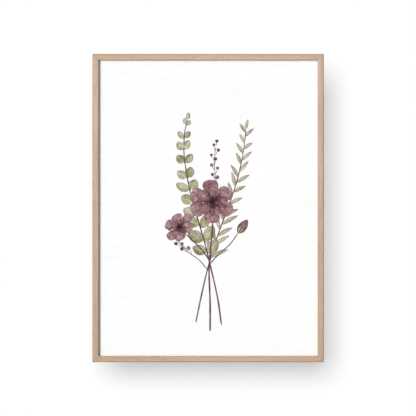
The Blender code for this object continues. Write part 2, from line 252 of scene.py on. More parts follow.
def make_settled_dust():
    """Dust that has settled where a surface faces up: the share of the face's own upward lean, broken by
    clouds and specks."""
    inputs = {"Place": "Vector", "Lean": "Vector", "Amount": "Float"}
    group, w, given, give = new_effect("settled dust", inputs, {"Mask": "Float"})
    up = w.span(w.split(given["Lean"])[2], 0.35, 0.95)
    cloud = w.span(w.noise(given["Place"], 70, detail=4, rough=0.6), 0.35, 0.75)
    specks = w.span(w.noise(given["Place"], 1600, detail=1), 0.55, 0.7)
    share = w.plus(w.times(cloud, 0.7), w.times(specks, 0.3))
    give(mask=w.times(w.times(up, share), given["Amount"], clamp=True))
    return group


def make_paper_tooth():
    """The sheet's surface: felt marks a millimetre or two across, fainter level lines from the mould, and
    fibres. Tone is where the sheet is less white: mostly along the level lines, and in slow clouds."""
    outputs = {"Height": "Float", "Tone": "Float"}
    group, w, given, give = new_effect("paper tooth", {"Sheet": "Vector"}, outputs)
    sheet = given["Sheet"]
    felt = w.noise(w.place(sheet, (620, 620, 900)), detail=4, rough=0.55)
    lines = w.noise(w.place(sheet, (30, 30, 320)), detail=1)
    fibre = w.noise(w.place(sheet, (300, 2600, 2600)), detail=1)
    height = w.plus(w.times(felt, 0.6), w.times(lines, 0.3))
    height = w.plus(height, w.times(fibre, 0.1))
    cloud = w.span(w.noise(sheet, 24, detail=4, rough=0.6), 0.35, 0.65)
    level = w.times(w.span(lines, 0.36, 0.64), 0.92)
    give(height=height, tone=w.plus(level, w.times(cloud, 0.08)))
    return group


def make_wash():
    """Clear water paint on white paper. Each channel of the colour is the pigment's, raised to how thickly
    it lies there: the brush mark's own load, pooled in soft patches, caught in the paper's grain, and drawn
    to a dark line at the mark's rim, which is given in millimetres. Mark is a number of the mark's own,
    which shifts the patches, so that no two marks pool alike."""
    inputs = {"Sheet": "Vector", "Light": "Color", "Deep": "Color", "Paper": "Color"}
    inputs.update(dict.fromkeys(("Load", "Tint", "Rim", "Mark"), "Float"))
    group, w, given, give = new_effect("water paint", inputs, {"Color": "Color", "Thickness": "Float"})
    mark = w.times(given["Mark"], 7.0)
    shift = w.join(mark, w.times(mark, 0.7), w.times(mark, 1.3))
    own = w.in_order(w.node("VectorMath", operation="ADD"), given["Sheet"], shift)
    pool = w.noise(own, 150, detail=3, rough=0.55, warp=0.6)
    bloom = w.noise(own, 70, detail=4, rough=0.6, warp=1.2)
    grain = w.noise(given["Sheet"], 1500, detail=2, rough=0.7)
    ragged = w.plus(given["Rim"], w.times(w.minus(pool, 0.5), 1.3))
    line = w.math("POWER", w.span(ragged, 0.0, 1.7, 1.0, 0.0), 1.5)
    load = w.times(given["Load"], w.span(pool, 0.28, 0.72, 0.62, 1.34))
    load = w.times(load, w.span(bloom, 0.46, 0.5, 0.86, 1.0))
    load = w.times(load, w.span(grain, 0.3, 0.7, 0.86, 1.14))
    load = w.plus(load, w.times(w.times(line, 0.62), w.span(given["Load"], 0.0, 0.5)))
    hue = w.plus(given["Tint"], w.times(w.minus(bloom, 0.5), 0.8))
    hue = w.plus(hue, w.times(line, 0.6), clamp=True)
    pigment = w.fill(w.node("SeparateColor"), color=w.mix(hue, given["Light"], given["Deep"]))
    raised = [w.math("POWER", channel, load) for channel in pigment]
    colour = w.in_order(w.node("CombineColor"), *raised)
    give(color=w.mix(1.0, colour, given["Paper"], blend="MULTIPLY"), thickness=load)
    return group


def make_plating():
    """Plated steel: small crystals, soft stains, fine rubbed lines both ways, and dull specks."""
    inputs = {"Place": "Vector", "Bright": "Color", "Dull": "Color", "Wear": "Float"}
    outputs = {"Color": "Color", "Roughness": "Float", "Height": "Float"}
    group, w, given, give = new_effect("plated steel", inputs, outputs)
    place = given["Place"]
    crystals = w.split(w.cells(place, 900, output="Color"))[0]
    stain = w.span(w.noise(place, 260, detail=4, rough=0.6), 0.38, 0.68)
    level = w.noise(w.place(place, (260, 5200, 5200)), detail=2)
    upright = w.noise(w.place(place, (5200, 5200, 260), shift=(2, 5, 1)), detail=2)
    lines = w.span(w.math("MAXIMUM", level, upright), 0.58, 0.74)
    specks = w.span(w.noise(place, 2100, detail=1), 0.66, 0.74)
    dull = w.plus(w.times(stain, 0.7), w.times(crystals, 0.3))
    dull = w.times(dull, given["Wear"])
    dull = w.plus(dull, w.times(specks, 0.6), clamp=True)
    give(
        color=w.mix(dull, given["Bright"], given["Dull"]),
        roughness=w.plus(w.span(dull, 0.0, 1.0, 0.27, 0.55), w.times(lines, 0.1)),
        height=w.minus(w.times(crystals, 0.3), w.plus(lines, specks)),
    )
    return group


def make_pressed_fibre():
    """Wood or paper pulp pressed into a board: short fibres lying three ways, dark flecks of bark, and slow
    clouds. Length is about how long the fibres are, in metres."""
    inputs = {"Place": "Vector", "Length": "Float"}
    outputs = dict.fromkeys(("Fibres", "Flecks", "Cloud"), "Float")
    group, w, given, give = new_effect("pressed fibre", inputs, outputs)
    longer = w.node("VectorMath", operation="SCALE")
    place = w.fill(longer, vector=given["Place"], scale=w.math("DIVIDE", 1.0, given["Length"]))[0]
    layers = []
    for angle in (0.25, 1.3, 2.35):
        turned = w.place(place, (1, 1, 1), turn=(0, angle, 0))
        layers.append(w.noise(w.place(turned, (2.2, 9, 13), shift=(angle, 0, 0)), detail=2))
    fibres = w.math("MAXIMUM", w.math("MAXIMUM", layers[0], layers[1]), layers[2])
    bark = w.noise(w.place(place, (3, 3, 5), shift=(4, 0, 2)), detail=3, rough=0.65)
    cloud = w.noise(given["Place"], 16, detail=4, rough=0.6)
    give(fibres=w.span(fibres, 0.48, 0.72), flecks=w.span(bark, 0.64, 0.72), cloud=cloud)
    return group


# Finishes


def make_oak(name, turn, shift, shade_ends):
    """Raw oak. turn lays the board's X along the rail, and shift picks a stretch of wood for it. The last
    argument is how much painted shade darkens the wood, 0 to 1, at the rail's left or upper end and at its
    other end, so that the frame is darker towards the bottom."""
    material, w, shader, place = new_finish(name, specular=0.28)
    board = w.place(place, (1, 1, 1), shift=shift, turn=turn)
    bands, pores, flecks, fibres, drift, height = w.effect(OAK_GRAIN, board=board)
    rosy = w.mix(bands, linear(200, 168, 148), linear(223, 194, 174))
    golden = w.mix(bands, linear(191, 167, 139), linear(221, 199, 171))
    wood = w.mix(w.span(drift, 0.4, 0.6), rosy, golden)
    tone = w.noise(w.place(board, (7, 75, 75), shift=(5.3, 2.9, 1.1)), detail=2)
    wood = w.mix(w.span(tone, 0.38, 0.66, 0.0, 0.3), wood, linear(184, 150, 125))
    wood = w.lay(wood, linear(184, 150, 127), fibres, 0.34)
    wood = w.lay(wood, linear(224, 202, 179), flecks, 0.5)
    wood = w.lay(wood, linear(136, 101, 79), pores, 0.62)
    # painted shade: the wood darkens towards the bottom of the frame
    first, last = shade_ends
    if turn == UPRIGHT:
        painted_shade = w.span(w.split(place)[2], 2 * CENTRE_Z, 0.0, last, first)
    else:
        painted_shade = w.span(w.split(place)[0], -HALF_WIDTH, HALF_WIDTH, first, last)
    wood = w.lay(wood, linear(158, 117, 91), painted_shade, 0.3)
    # painted shade along the rounded outer edge at the front, all round the picture
    wood = w.mix(w.effect(EDGE_SHADE, place=place)[0], wood, linear(150, 116, 92))
    dust = w.effect(DUST, place=place, lean=w.node("TexCoord").outputs["Normal"], amount=0.35)[0]
    rough = w.plus(w.span(fibres, 0.0, 1.0, 0.62, 0.74), w.times(pores, 0.15))
    w.feed(shader["Base Color"], w.mix(dust, wood, linear(214, 206, 196)))
    w.feed(shader["Roughness"], rough)
    w.feed(shader["Normal"], w.bump(height, 0.06 * MM))
    return material


def make_paper():
    """Cold-pressed cotton paper, a neutral white with a slight tooth, and painted shade in the tooth's
    hollows.
    """
    material, w, shader, place = new_finish("cotton paper", roughness=0.9, specular=0.2)
    height, tone = w.effect(TOOTH, sheet=place)
    white = w.mix(tone, PAPER_LIGHT, PAPER_DULL)
    # painted shade in the hollows of the paper's tooth
    hollow_shade = w.span(height, 0.3, 0.62, 0.05, 0.0)
    w.feed(shader["Base Color"], w.mix(hollow_shade, white, linear(212, 211, 209)))
    w.feed(shader["Normal"], w.bump(height, TOOTH_DEPTH, 0.8))
    return material


def make_paint(name, light, deep, veins):
    """Water paint for one kind of brush mark. Its two attributes hold (along, across, rim) and (load,
    tint, mark). veins draws them: "leaf" is a pale midrib with side veins, "petal" is fine lines,
    None is plain."""
    material, w, shader, place = new_finish(name, roughness=0.82, specular=0.25)
    along, across, rim = w.split(w.node("Attribute", attribute_name="brush").outputs["Vector"])
    load, tint, mark = w.split(w.node("Attribute", attribute_name="paint").outputs["Vector"])
    side = w.math("ABSOLUTE", across)
    if veins == "leaf":
        midrib = w.span(side, 0.03, 0.13, 0.55, 1.0)
        forward = w.minus(w.times(along, 9.0), w.times(side, 1.5))
        course = w.minus(w.math("FRACT", forward), 0.5)
        ribs = w.span(w.math("ABSOLUTE", course), 0.0, 0.12, 0.86, 1.0)
        load = w.times(w.times(load, midrib), ribs)
    elif veins == "petal":
        course = w.join(w.times(along, 1.6), w.times(across, 11.0), w.times(mark, 5.0))
        lines = w.noise(course, detail=3, rough=0.6)
        load = w.times(load, w.span(lines, 0.35, 0.68, 0.78, 1.3))
    washed = {"sheet": place, "light": light, "deep": deep, "paper": PAPER_DULL}
    colour, thick = w.effect(WASH, **washed, load=load, tint=tint, rim=rim, mark=mark)
    w.feed(shader["Base Color"], colour)
    w.feed(shader["Roughness"], w.span(thick, 0.0, 1.6, 0.9, 0.72))
    w.feed(shader["Normal"], w.bump(w.effect(TOOTH, sheet=place)[0], TOOTH_DEPTH, 0.6))
    return material


def make_glass():
    """Clear picture glass. Each ray is let through straight or mirrored, in the share that glass mirrors.
    The face where a ray comes in mirrors for both faces, and the other one lets all of it through."""
    material, w = new_material("clear glass")
    through = w.shader("BsdfTransparent", color=(0.998, 0.999, 0.998, 1.0))
    mirror = w.shader("BsdfGlossy", roughness=0.02)
    fresnel = w.node("Fresnel")
    fresnel.inputs["IOR"].default_value = 1.5
    smear = w.noise(w.node("TexCoord").outputs["Object"], 26, detail=4, rough=0.6)
    both = w.times(fresnel.outputs[0], w.span(smear, 0.35, 0.7, 1.75, 1.95))
    entered = w.minus(1.0, w.node("NewGeometry").outputs["Backfacing"])
    w.surface(w.blend(w.times(both, entered, clamp=True), through, mirror))
    return material


def make_card():
    """Corrugated card: brown liner with short fibres, and the flutes just telling through as level lines,
    which are a sine of the height."""
    material, w, shader, place = new_finish("corrugated card", roughness=0.85, specular=0.2)
    fibres, flecks, cloud = w.effect(FIBRE, place=place, length=4 * MM)
    turns = w.times(w.split(place)[2], 2 * math.pi / FLUTE_PITCH)
    flute = w.math("MULTIPLY_ADD", w.math("SINE", turns), 0.5, 0.5)
    brown = w.mix(w.span(cloud, 0.35, 0.65), linear(186, 153, 112), linear(200, 168, 127))
    brown = w.lay(brown, linear(215, 187, 149), fibres, 0.3)
    brown = w.lay(brown, linear(150, 118, 82), flute, 0.12)
    w.feed(shader["Base Color"], w.lay(brown, linear(112, 84, 58), flecks, 0.6))
    w.feed(shader["Normal"], w.bump(w.plus(flute, w.times(fibres, 0.2)), 0.12 * MM))
    return material


def make_fibreboard():
    """Thin fibreboard: a smooth pressed face with pale fibres, bark flecks, and a few long rub marks."""
    material, w, shader, place = new_finish("fibreboard", specular=0.3)
    fibres, flecks, cloud = w.effect(FIBRE, place=place, length=3.5 * MM)
    brown = w.mix(w.span(cloud, 0.34, 0.66), linear(160, 129, 95), linear(166, 135, 100))
    brown = w.lay(brown, linear(190, 160, 124), fibres, 0.42)
    brown = w.lay(brown, linear(96, 70, 47), flecks, 0.55)
    slanted = w.place(w.place(place, (1, 1, 1), turn=(0, 0.5, 0)), (9, 400, 900))
    rubs = w.span(w.noise(slanted, detail=2, rough=0.6), 0.66, 0.76)
    rough = w.minus(w.span(cloud, 0.3, 0.7, 0.5, 0.64), w.times(rubs, 0.1))
    w.feed(shader["Base Color"], w.lay(brown, linear(203, 178, 146), rubs, 0.25))
    w.feed(shader["Roughness"], rough)
    w.feed(shader["Normal"], w.bump(w.minus(fibres, flecks), 0.03 * MM))
    return material


def make_plated(name, bright, dull, wear):
    """Plated steel, with a little dust on what faces up."""
    material, w, shader, place = new_finish(name, metallic=1.0)
    colour, rough, height = w.effect(PLATING, place=place, bright=bright, dull=dull, wear=wear)
    dust = w.effect(DUST, place=place, lean=w.node("TexCoord").outputs["Normal"], amount=0.3)[0]
    w.feed(shader["Base Color"], w.mix(dust, colour, linear(186, 180, 170)))
    w.feed(shader["Roughness"], w.plus(rough, w.times(dust, 0.4), clamp=True))
    w.feed(shader["Normal"], w.bump(height, 0.012 * MM))
    return material


def make_rubber():
    """Pale grey rubber with a fine skin and a little dust pressed into it."""
    material, w, shader, place = new_finish("grey rubber", specular=0.4)
    skin = w.noise(place, 3200, detail=2)
    cloud = w.span(w.noise(place, 320, detail=3), 0.35, 0.65)
    specks = w.span(w.noise(place, 1300, detail=1), 0.64, 0.72)
    grey = w.mix(cloud, linear(190, 191, 188), linear(205, 205, 201))
    w.feed(shader["Base Color"], w.lay(grey, linear(132, 127, 120), specks, 0.5))
    w.feed(shader["Roughness"], w.span(cloud, 0.0, 1.0, 0.42, 0.56))
    w.feed(shader["Normal"], w.bump(skin, 0.02 * MM))
    return material


PAPER_LIGHT = linear(254.2, 253.8, 254)  # the sheet at its whitest
PAPER_DULL = linear(251, 250.6, 250.8)  # the sheet along its level lines, and under the paint
TOOTH_DEPTH = 0.12 * MM
FLUTE_PITCH = 6.5 * MM
OAK_GRAIN = make_oak_grain()
# painted shade for the oak's rounded outer edge
EDGE_SHADE = make_painted_edge_shade()
DUST = make_settled_dust()
TOOTH = make_paper_tooth()
WASH = make_wash()
PLATING = make_plating()
FIBRE = make_pressed_fibre()

LEVEL = (0, 0, 0)
UPRIGHT = (0, math.pi / 2, 0)
# each rail's last entry is its painted shade at its two ends, darker towards the bottom of the frame
RAIL_FINISH = {
    "rail_top": make_oak("raw oak, top rail", LEVEL, (8.171, 2.408, 1.293), (0.0, 0.05)),
    "rail_bottom": make_oak("raw oak, bottom rail", LEVEL, (9.411, 2.700, 1.643), (0.7, 0.3)),
    "rail_left": make_oak("raw oak, left rail", UPRIGHT, (6.596, 1.419, 1.578), (0.1, 0.5)),
    "rail_right": make_oak("raw oak, right rail", UPRIGHT, (6.694, 1.339, 0.752), (0.0, 0.35)),
}
SLOT_FINISH = {
    "clear_glass": make_glass(),
    "cotton_paper": make_paper(),
    "corrugated_card": make_card(),
    "fibreboard": make_fibreboard(),
    "zinc_plate": make_plated("zinc plate", linear(214, 216, 219), linear(158, 160, 164), 0.8),
    "brassed_steel": make_plated("brassed steel", linear(218, 196, 146), linear(158, 135, 95), 0.9),
    "grey_rubber": make_rubber(),
}


def dress_nodes():
    """Every CAD node gets its finish: the rails one each, the others by their slot in the record."""
    for part in frame["record"]["subparts"]:
        mesh = frame["nodes"][part["node"]].data
        mesh.materials.clear()
        mesh.materials.append(RAIL_FINISH.get(part["node"]) or SLOT_FINISH[part["material_slot"]])


def add_object(name, points, faces, material):
    """A mesh object of these points and faces, in one material."""
    mesh = bpy.data.meshes.new(name)
    mesh.from_pydata(points, [], faces)
    mesh.materials.append(material)
    made = bpy.data.objects.new(name, mesh)
    scene.collection.objects.link(made)
    return made


# Brush marks, in millimetres on the sheet, to the right of its middle and up from it

FIRST_LAYER = 0.03  # from the sheet to the first layer of paint
LAYER_STEP = 0.016  # from one layer to the next
PAINT_RISE = 0.010  # how far a mark's middle stands in front of its rim
REAR_SHARE = 0.3  # how far it stands behind its rim, as a share of that
TINY = 1e-9  # keeps a division clear of zero
SHEET_PLACE = np.array([0.0, PAPER_Y, CENTRE_Z])

rng = np.random.default_rng(20611)
marks = {}


def stations(count):
    """Shares 0 to 1 along a mark, closer together at both ends: (1 - cos of an even run from 0 to
    pi) / 2."""
    return (1 - np.cos(np.linspace(0, math.pi, count))) / 2


def toward(angle):
    """The step of 1 mm at that angle: (cos, sin)."""
    return np.array([math.cos(angle), math.sin(angle)])


def smooth_line(points, count):
    """A smooth line through a few points: each stretch between two of them is the Catmull-Rom cubic of
    those two and their neighbours, in 40 steps, and the result is spaced evenly by length."""
    knots = np.array(points, float)
    knots = np.vstack([2 * knots[0] - knots[1], knots, 2 * knots[-1] - knots[-2]])
    steps = np.linspace(0, len(knots) - 3, 40 * (len(knots) - 3) + 1)
    first = np.minimum(steps.astype(int), len(knots) - 4)
    t = (steps - first)[:, None]
    a, b, c, d = (knots[first + k] for k in range(4))
    line = 0.5 * (2 * b + (c - a) * t + (2 * a - 5 * b + 4 * c - d) * t**2 + (3 * b - a - 3 * c + d) * t**3)
    run = np.concatenate([[0], np.cumsum(np.hypot(*np.diff(line, axis=0).T))])
    even = np.linspace(0, run[-1], count)
    return np.column_stack([np.interp(even, run, line[:, k]) for k in range(2)])


def arc_line(start, heading, length, bend, shares):
    """A line that leaves start at the angle heading and turns by bend over its length: the summed steps of
    (cos, sin) of heading + bend * share."""
    middle = (shares[1:] + shares[:-1]) / 2
    angle = heading + bend * middle
    step = np.diff(shares)[:, None] * length * np.column_stack([np.cos(angle), np.sin(angle)])
    return np.array(start) + np.vstack([[0, 0], np.cumsum(step, axis=0)])


def along_line(line, share):
    """The point at that share of an evenly spaced line, and the line's heading there."""
    place = share * (len(line) - 1)
    first = int(min(place, len(line) - 2))
    step = line[first + 1] - line[first]
    return line[first] + (place - first) * step, math.atan2(step[1], step[0])


def close_ends(grid):
    """The rings of a mark as rows, with the first and the last of them drawn together to its mean."""
    return np.vstack([grid[0].mean(axis=0), grid[1:-1].reshape(-1, 3), grid[-1].mean(axis=0)])


def lens_faces(count, around):
    """The triangles of a closed lens of count rings, whose first and last ring are a single point."""
    ring, point = np.meshgrid(np.arange(count - 3), np.arange(around), indexing="ij")
    here = 1 + ring * around + point
    beside = 1 + ring * around + (point + 1) % around
    quads = np.stack([here, beside, beside + around, here + around], axis=-1).reshape(-1, 4)
    point = np.arange(around)
    after = (point + 1) % around
    last_ring = 1 + (count - 3) * around
    start_cap = np.column_stack([np.zeros(around, int), 1 + after, 1 + point])
    end_cap = np.column_stack([last_ring + point, last_ring + after, np.full(around, last_ring + around)])
    return np.vstack([quads[:, [0, 1, 2]], quads[:, [0, 2, 3]], start_cap, end_cap])


def brush_mark(kind, spine, half, layer, load, tint, around=12, ripple=0.0, flower=None):
    """One mark of the brush: a closed lens, much wider than it is thick. Station i of the spine carries an
    oval of points. The one at angle a stands half[i] * cos(a) to the side, and PAINT_RISE * sin(a) in
    front, times the square root of half[i] over the widest half, with REAR_SHARE of that behind. The first
    and last oval shrink to a point each. The far end is waved by ripple * length * share ** 3 * (1 - share
    ** 8) times a cosine of the place across. flower, (centre, 2 x 2 matrix), tilts the mark with its
    flower. load and tint are functions of (along, across), or numbers."""
    share = np.linspace(0, 1, len(spine))[:, None]
    angle = np.arange(around) * 2 * math.pi / around
    aside = np.cos(angle)[None, :]
    front = np.sin(angle)[None, :]
    heading = np.gradient(spine, axis=0)
    heading /= np.maximum(np.hypot(*heading.T), TINY)[:, None]
    side = np.column_stack([-heading[:, 1], heading[:, 0]])
    reach = np.pad(half[1:-1], 1)[:, None]
    flat = spine[:, None, :] + side[:, None, :] * (reach * aside)[..., None]
    length = np.hypot(*(spine[-1] - spine[0]))
    phase = rng.uniform(0, 2 * math.pi)
    wave = ripple * length * share**3 * np.cos(2.3 * math.pi * aside + phase) * (1 - share**8)
    flat = flat + heading[:, None, :] * wave[..., None]
    if flower is not None:
        centre, matrix = flower
        flat = (flat - centre) @ matrix.T + centre
    body = np.sqrt(np.clip(reach / max(np.max(half), TINY), 0, 1))
    stand = PAINT_RISE * body * np.where(front > 0, front, REAR_SHARE * front)
    depth = -(FIRST_LAYER + layer * LAYER_STEP + stand)
    points = np.stack([flat[..., 0], depth, flat[..., 1]], axis=-1)
    along = np.broadcast_to(share, depth.shape)
    across = np.broadcast_to(aside, depth.shape)

    def laid_out(value):
        """A number, or a function of (along, across), as one value for each point."""
        return np.broadcast_to(value(along, across) if callable(value) else value, depth.shape)

    brush = np.stack([along, across, reach * (1 - np.abs(across))], axis=-1)
    paint = np.stack([laid_out(load), laid_out(tint), laid_out(rng.uniform())], axis=-1)
    mark = {
        "points": close_ends(points),
        "faces": lens_faces(len(spine), around),
        "brush": close_ends(brush),
        "paint": close_ends(paint),
    }
    marks.setdefault(kind, []).append(mark)


def lay_marks(name, kind, material):
    """Joins the marks of one kind into one piece, which lies on the sheet and moves with it."""
    found = marks[kind]
    starts = np.cumsum([0] + [len(mark["points"]) for mark in found[:-1]])
    points = np.vstack([mark["points"] for mark in found]) * MM + SHEET_PLACE
    faces = np.vstack([mark["faces"] + start for mark, start in zip(found, starts)])
    piece = add_object(name, points.tolist(), faces.tolist(), material)
    for title in ("brush", "paint"):
        values = np.vstack([mark[title] for mark in found]).astype(np.float32)
        attribute = piece.data.attributes.new(title, "FLOAT_VECTOR", "POINT")
        attribute.data.foreach_set("vector", values.ravel())
    piece.data.shade_smooth()
    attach(piece, BODY)


# The painted design

LAYER = {  # the layers that each kind of mark lies in, or starts from, counted from the sheet
    "narrow stem": 0,
    "narrow leaf": 1,
    "berry stem": 3,
    "berry": 4,
    "round stem": 4.6,
    "round leaf": 5.45,
    "flower stem": 7.15,
    "petal": 8,
    "inner petal": 10,
    "sepal": 11,
    "last petal": 12,
    "heart": 13,
    "stamen": 14,
    "stamen tip": 15,
}
ROUND_LEAF_STEP = 0.85  # between the two layers that round leaves take in turn
BLUNTNESS = {"sage": 0.62, "olive": 0.8}  # the power that rounds a leaf: less is rounder
OUTER_PETALS = 6
INNER_PETALS = 5
STAMENS = 30
NARROW_BRANCH = [
    (-25, -231), (-14, -178), (-1, -122), (17, -62), (38, -4), (56, 48), (68, 98), (74, 140), (76, 158),
]
ROUND_BRANCH = [
    (27, -236), (19, -180), (6, -122), (-9, -62), (-26, -4), (-40, 52), (-48, 106), (-47, 150), (-41, 178),
]
LOW_SPRAY = [(1, -126), (-18, -104), (-40, -88), (-60, -66), (-72, -42)]
HIGH_SPRAY = [(8, -40), (10, 10), (14, 58), (12, 96), (16, 124)]
MIDDLE_STEM = [(4, -247), (4, -190), (2, -122), (6, -70), (9, -30), (8, 8)]
LEFT_STEM = [(3, -106), (-12, -84), (-32, -64), (-52, -46)]
RIGHT_STEM = [(3, -112), (22, -92), (44, -72), (60, -50)]


def paint_stem(points, wide, narrow, layer, tint=0.6):
    """A stem with cut ends and a width that wavers a little. Its width is a straight run from wide to
    narrow, times 1 + 0.10 * a slow sine + 0.06 * a faster one, closed as a square root in the last 2%
    at each end."""
    line = smooth_line(points, 70)
    share = np.linspace(0, 1, len(line))
    slow = np.sin(share * 31 + rng.uniform(0, 6))
    fast = np.sin(share * 77 + rng.uniform(0, 6))
    closed = np.clip(np.minimum(share, 1 - share) / 0.02, 0, 1) ** 0.5
    half = (wide + (narrow - wide) * share) * (1 + 0.10 * slow + 0.06 * fast) * closed / 2
    brush_mark("stem", line, half, layer, load=1.1, tint=tint, around=8)
    return line


def paint_leaf(kind, start, heading, length, half_width, bend, layer, load, tint):
    """A leaf: a bent spine whose half width is half_width * sin(pi * share ** 0.9) ** the kind's bluntness.
    One side of the midrib takes more paint, and so do the foot and the tip."""
    share = stations(22)
    spine = arc_line(start, heading, length, bend, share)
    half = half_width * np.sin(math.pi * share**0.9) ** BLUNTNESS[kind]
    lit = 1 if rng.uniform() < 0.5 else -1
    base = load * rng.uniform(0.88, 1.12)

    def loaded(along, across):
        sides = 1 + 0.2 * np.tanh(6 * across * lit)
        return base * sides * (0.82 + 0.55 * (1 - along) ** 4 + 0.32 * along**3)

    brush_mark(kind, spine, half, layer, load=loaded, tint=lambda along, across: tint + 0.55 * along**4)


def round_leaf_branch():
    """An arching branch with rounded leaves in pairs, each on a short stalk, smaller towards its tip."""
    line = paint_stem(ROUND_BRANCH, 3.2, 1.7, LAYER["round stem"])
    for n, share in enumerate(np.linspace(0.36, 0.965, 11)):
        size = 36 * (1 - share) ** 0.42 + 3.5
        for side in (1, -1):
            point, heading = along_line(line, share + rng.uniform(-0.012, 0.012))
            heading = heading + side * (1.15 - 0.45 * share + rng.uniform(-0.2, 0.2))
            foot = point + 2.4 * toward(heading)
            paint_leaf(
                "sage",
                foot,
                heading,
                length=size * rng.uniform(0.84, 1.12),
                half_width=size * rng.uniform(0.31, 0.39),
                bend=-side * rng.uniform(0.1, 0.5),
                layer=LAYER["round leaf"] + ROUND_LEAF_STEP * (n % 2),
                load=rng.uniform(0.85, 1.25),
                tint=rng.uniform(0.1, 0.45),
            )
            paint_stem([point, (point + foot) / 2, foot], 1.4, 1.1, LAYER["round stem"])
    tip, heading = along_line(line, 1.0)
    paint_leaf("sage", tip, heading, 13, 4.2, 0.2, LAYER["round leaf"], 1.0, 0.3)


def narrow_leaf_branch():
    """A branch with slender leaves one by one, left and right in turn, leaning well forward."""
    line = paint_stem(NARROW_BRANCH, 3.0, 1.5, LAYER["narrow stem"])
    for n, share in enumerate(np.linspace(0.34, 0.985, 24)):
        point, heading = along_line(line, share + rng.uniform(-0.006, 0.006))
        side = 1 if n % 2 else -1
        length = (47 - 25 * share) * rng.uniform(0.86, 1.12)
        paint_leaf(
            "olive",
            point,
            heading + side * (0.72 - 0.25 * share + rng.uniform(-0.12, 0.12)),
            length,
            half_width=4.9 - 1.8 * share,
            bend=side * rng.uniform(0.1, 0.45),
            layer=LAYER["narrow leaf"] + n % 2,
            load=rng.uniform(0.82, 1.2),
            tint=rng.uniform(0.1, 0.5),
        )
    tip, heading = along_line(line, 1.0)
    paint_leaf("olive", tip, heading, 20, 2.9, -0.2, LAYER["narrow leaf"], 0.95, 0.4)


def paint_petal(flower, angle, inner, length, half_width, layer, load, tint):
    """One petal: it starts inner from the flower's centre and darkens towards it. Its half width is
    half_width * 1.1 * share ** 0.62 * sqrt(1 - share ** 5), a narrow foot that swells to a round end."""
    share = stations(26)
    bend = rng.uniform(-0.22, 0.22)
    spine = arc_line(flower[0] + inner * toward(angle), angle - bend / 2, length, bend, share)
    half = half_width * 1.1 * share**0.62 * np.sqrt(np.clip(1 - share**5, 0, 1))
    base = load * rng.uniform(0.86, 1.14)

    def loaded(along, across):
        return base * (0.60 + 0.95 * (1 - along) ** 2.2 + 0.22 * along**4)

    def tinted(along, across):
        return np.clip(tint + 0.75 * (1 - along) ** 2.5 + 0.15 * np.abs(across) ** 3, 0, 1)

    brush_mark("petal", spine, half, layer, load=loaded, tint=tinted, around=28, ripple=0.022, flower=flower)


def paint_dot(kind, centre, radius, layer, load, tint, flower=None, shine=0.0):
    """A round dab: half width = sqrt of radius squared less the distance from the middle squared. shine
    leaves a paler spot up and to the left, as a soft hill exp(-distance squared) of paint left out."""
    share = stations(12)
    spine = np.array(centre) + np.column_stack([np.zeros_like(share), (2 * share - 1) * radius])
    half = radius * np.sqrt(np.clip(1 - (2 * share - 1) ** 2, 0, 1))

    def loaded(along, across):
        side = across * np.sqrt(np.clip(1 - (2 * along - 1) ** 2, 0, 1))
        spot = np.exp(-((along - 0.68) ** 2 * 22 + (side - 0.3) ** 2 * 7))
        return load * (1 + 0.25 * (1 - along)) * (1 - shine * spot)

    brush_mark(kind, spine, half, layer, load=loaded, tint=tint, flower=flower)


def tilt(lean, amount):
    """A flower seen from the side: the matrix that shrinks the sheet to amount along the direction lean."""
    away = toward(lean)
    return np.eye(2) - (1 - amount) * np.outer(away, away)


def paint_blossom(centre, radius, lean, amount, load):
    """An open flower: an outer and an inner ring of broad petals, a dark heart, and stamens round it. The
    petals of a ring take two layers in turn, and the inner ring's odd last one has a layer of its own."""
    centre = np.array(centre, float)
    flower = (centre, tilt(lean, amount))
    start = rng.uniform(0, 1)
    for n in range(OUTER_PETALS):
        angle = (n + start) * 2 * math.pi / OUTER_PETALS + rng.uniform(-0.07, 0.07)
        length = 0.90 * radius * rng.uniform(0.94, 1.05)
        paint_petal(flower, angle, 0.10 * radius, length, 0.43 * radius, LAYER["petal"] + n % 2, load, 0.15)
    for n in range(INNER_PETALS):
        angle = (n + start + 0.5) * 2 * math.pi / INNER_PETALS + rng.uniform(-0.08, 0.08)
        length = 0.62 * radius * rng.uniform(0.93, 1.06)
        layer = LAYER["last petal"] if n == INNER_PETALS - 1 else LAYER["inner petal"] + n % 2
        paint_petal(flower, angle, 0.06 * radius, length, 0.33 * radius, layer, load * 1.12, 0.35)
    paint_dot("heart", centre, 0.125 * radius, LAYER["heart"], 1.5, 0.9, flower, 0.3)
    turns = (np.arange(STAMENS) + rng.uniform(-0.3, 0.3, STAMENS)) * 2 * math.pi / STAMENS
    reaches = radius * rng.uniform(0.19, 0.31, STAMENS)
    share = stations(8)
    half = 0.22 * np.sin(math.pi * share) ** 0.5
    for turn, reach in zip(turns, reaches):
        away = toward(turn)
        spine = centre + away * (0.12 * radius + share[:, None] * (reach - 0.12 * radius))
        brush_mark("heart", spine, half, LAYER["stamen"], load=1.0, tint=0.7, around=6, flower=flower)
        tip = rng.uniform(0.55, 0.95) * radius / 40
        paint_dot("heart", centre + away * reach, tip, LAYER["stamen tip"], 1.4, 0.9, flower)


def paint_bud(foot, heading, length):
    """A closed bud: three petals wrapped over each other, and two green sepals at the foot. A petal's half
    width is length * wide * sin(pi * share ** 0.8) ** 0.8."""
    share = stations(22)
    for n, (turn, wide) in enumerate(((0.20, 0.21), (-0.22, 0.21), (0.0, 0.24))):
        spine = arc_line(foot, heading + turn, length * (0.96 if n < 2 else 1.0), -1.6 * turn, share)
        half = length * wide * np.sin(math.pi * share**0.8) ** 0.8
        brush_mark(
            "petal",
            spine,
            half,
            LAYER["petal"] + n,
            load=lambda along, across: 0.7 + 0.5 * (1 - along) ** 2 + 0.2 * along**3,
            tint=lambda along, across: 0.35 + 0.4 * (1 - along) ** 2,
            around=20,
        )
    layer = LAYER["sepal"]
    for turn in (0.5, -0.5):
        paint_leaf("olive", foot, heading + turn, length * 0.5, length * 0.08, -turn * 1.3, layer, 1.2, 0.4)


